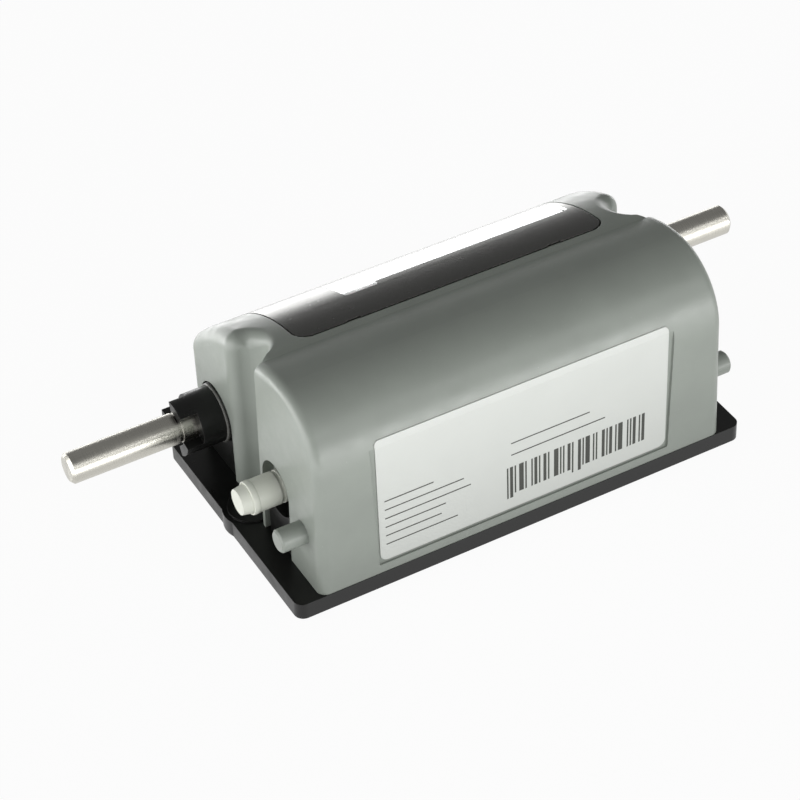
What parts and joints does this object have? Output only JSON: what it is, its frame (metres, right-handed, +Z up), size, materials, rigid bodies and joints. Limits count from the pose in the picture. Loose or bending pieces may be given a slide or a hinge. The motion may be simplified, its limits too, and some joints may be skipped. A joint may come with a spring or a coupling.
{
  "type": "cable length counter",
  "caption": "Mechanical length counter with a drive shaft out at both ends, number wheels under a curved window and a reset spindle.",
  "frame": {"origin": "centre of the bounding box's underside: middle of the base plate's underside", "axes": "+X along the drive shaft, away from the reset spindle; +Y from the label side to the window side; +Z up"},
  "size_m": [0.1516, 0.056, 0.0447],
  "materials": {
    "black_plastic": "satin moulded",
    "grey_plastic": "satin moulded",
    "gloss_black": "gloss",
    "clear_plastic": "clear, slightly hazed",
    "label_film": "satin film",
    "bright_steel": "ground bright",
    "spring_steel": "plain",
    "zinc_steel": "bright zinc",
    "white_nylon": "natural nylon",
    "wheel_black": "matt",
    "wheel_red": "matt",
    "brass": "plain"
  },
  "bodies": {
    "housing": {"base_plate": "black_plastic", "housing_cover": "grey_plastic", "window_bezel": "gloss_black", "window_lens": "clear_plastic", "rating_label": "label_film", "left_side_frame": "black_plastic", "right_side_frame": "black_plastic", "frame_tie_bars": "bright_steel", "left_shaft_bush": "black_plastic", "right_shaft_bush": "black_plastic", "shaft_washers": "spring_steel", "pinion_shaft": "bright_steel", "spindle_bracket": "black_plastic", "reset_detent_spring": "spring_steel", "cover_screws": "zinc_steel", "frame_screws": "zinc_steel"},
    "drive_shaft": {"drive_shaft": "bright_steel", "shaft_collars": "brass", "drive_pinion": "brass"},
    "number_wheel_1": {"number_wheel_1": "wheel_red", "reset_pawl_1": "spring_steel", "first_wheel_gear": "white_nylon"},
    "number_wheel_2": {"number_wheel_2": "wheel_black", "reset_pawl_2": "spring_steel"},
    "number_wheel_3": {"number_wheel_3": "wheel_black", "reset_pawl_3": "spring_steel"},
    "number_wheel_4": {"number_wheel_4": "wheel_black", "reset_pawl_4": "spring_steel"},
    "number_wheel_5": {"number_wheel_5": "wheel_black", "reset_pawl_5": "spring_steel"},
    "number_wheel_6": {"number_wheel_6": "wheel_black", "reset_pawl_6": "spring_steel"},
    "transfer_pinion_1": {"transfer_pinion_1": "white_nylon"},
    "transfer_pinion_2": {"transfer_pinion_2": "white_nylon"},
    "transfer_pinion_3": {"transfer_pinion_3": "white_nylon"},
    "transfer_pinion_4": {"transfer_pinion_4": "white_nylon"},
    "transfer_pinion_5": {"transfer_pinion_5": "white_nylon"},
    "reset_spindle": {"reset_spindle": "white_nylon", "reset_gear": "white_nylon"},
    "wheel_shaft": {"wheel_shaft": "bright_steel", "wheel_shaft_gear": "white_nylon", "wheel_shaft_clips": "spring_steel", "wheel_spacer": "white_nylon"}
  },
  "joints": [
    {"name": "drive_shaft_spin", "type": "hinge", "parent": "housing", "child": "drive_shaft", "pos_m": [0, 0.0164, 0.0166], "axis": [1, 0, 0], "continuous": true},
    {"name": "number_wheel_1_spin", "type": "hinge", "parent": "housing", "child": "number_wheel_1", "pos_m": [-0.01305, 0.0064, 0.02696], "axis": [1, 0, 0], "continuous": true},
    {"name": "number_wheel_2_spin", "type": "hinge", "parent": "housing", "child": "number_wheel_2", "pos_m": [-0.00485, 0.0064, 0.02696], "axis": [1, 0, 0], "continuous": true},
    {"name": "number_wheel_3_spin", "type": "hinge", "parent": "housing", "child": "number_wheel_3", "pos_m": [0.00335, 0.0064, 0.02696], "axis": [1, 0, 0], "continuous": true},
    {"name": "number_wheel_4_spin", "type": "hinge", "parent": "housing", "child": "number_wheel_4", "pos_m": [0.01155, 0.0064, 0.02696], "axis": [1, 0, 0], "continuous": true},
    {"name": "number_wheel_5_spin", "type": "hinge", "parent": "housing", "child": "number_wheel_5", "pos_m": [0.01975, 0.0064, 0.02696], "axis": [1, 0, 0], "continuous": true},
    {"name": "number_wheel_6_spin", "type": "hinge", "parent": "housing", "child": "number_wheel_6", "pos_m": [0.02795, 0.0064, 0.02696], "axis": [1, 0, 0], "continuous": true},
    {"name": "transfer_pinion_1_spin", "type": "hinge", "parent": "housing", "child": "transfer_pinion_1", "pos_m": [-0.00895, 0.00233, 0.01578], "axis": [1, 0, 0], "continuous": true},
    {"name": "transfer_pinion_2_spin", "type": "hinge", "parent": "housing", "child": "transfer_pinion_2", "pos_m": [-0.00075, 0.00233, 0.01578], "axis": [1, 0, 0], "continuous": true},
    {"name": "transfer_pinion_3_spin", "type": "hinge", "parent": "housing", "child": "transfer_pinion_3", "pos_m": [0.00745, 0.00233, 0.01578], "axis": [1, 0, 0], "continuous": true},
    {"name": "transfer_pinion_4_spin", "type": "hinge", "parent": "housing", "child": "transfer_pinion_4", "pos_m": [0.01565, 0.00233, 0.01578], "axis": [1, 0, 0], "continuous": true},
    {"name": "transfer_pinion_5_spin", "type": "hinge", "parent": "housing", "child": "transfer_pinion_5", "pos_m": [0.02385, 0.00233, 0.01578], "axis": [1, 0, 0], "continuous": true},
    {"name": "reset_spindle_turn", "type": "hinge", "parent": "housing", "child": "reset_spindle", "pos_m": [-0.04, -0.01056, 0.01794], "axis": [1, 0, 0], "continuous": true},
    {"name": "wheel_shaft_turn", "type": "hinge", "parent": "housing", "child": "wheel_shaft", "pos_m": [0, 0.0064, 0.02696], "axis": [1, 0, 0], "continuous": true}
  ],
  "couplings": [
    {"joint": "number_wheel_1_spin", "follows": "drive_shaft_spin", "ratio": -0.5},
    {"joint": "number_wheel_2_spin", "follows": "drive_shaft_spin", "ratio": -0.05},
    {"joint": "number_wheel_3_spin", "follows": "drive_shaft_spin", "ratio": -0.005},
    {"joint": "number_wheel_4_spin", "follows": "drive_shaft_spin", "ratio": -0.0005},
    {"joint": "number_wheel_5_spin", "follows": "drive_shaft_spin", "ratio": -0.00005},
    {"joint": "number_wheel_6_spin", "follows": "drive_shaft_spin", "ratio": -0.000005},
    {"joint": "transfer_pinion_1_spin", "follows": "drive_shaft_spin", "ratio": 0.125},
    {"joint": "transfer_pinion_2_spin", "follows": "drive_shaft_spin", "ratio": 0.0125},
    {"joint": "transfer_pinion_3_spin", "follows": "drive_shaft_spin", "ratio": 0.00125},
    {"joint": "transfer_pinion_4_spin", "follows": "drive_shaft_spin", "ratio": 0.000125},
    {"joint": "transfer_pinion_5_spin", "follows": "drive_shaft_spin", "ratio": 0.0000125},
    {"joint": "wheel_shaft_turn", "follows": "reset_spindle_turn", "ratio": -1}
  ]
}
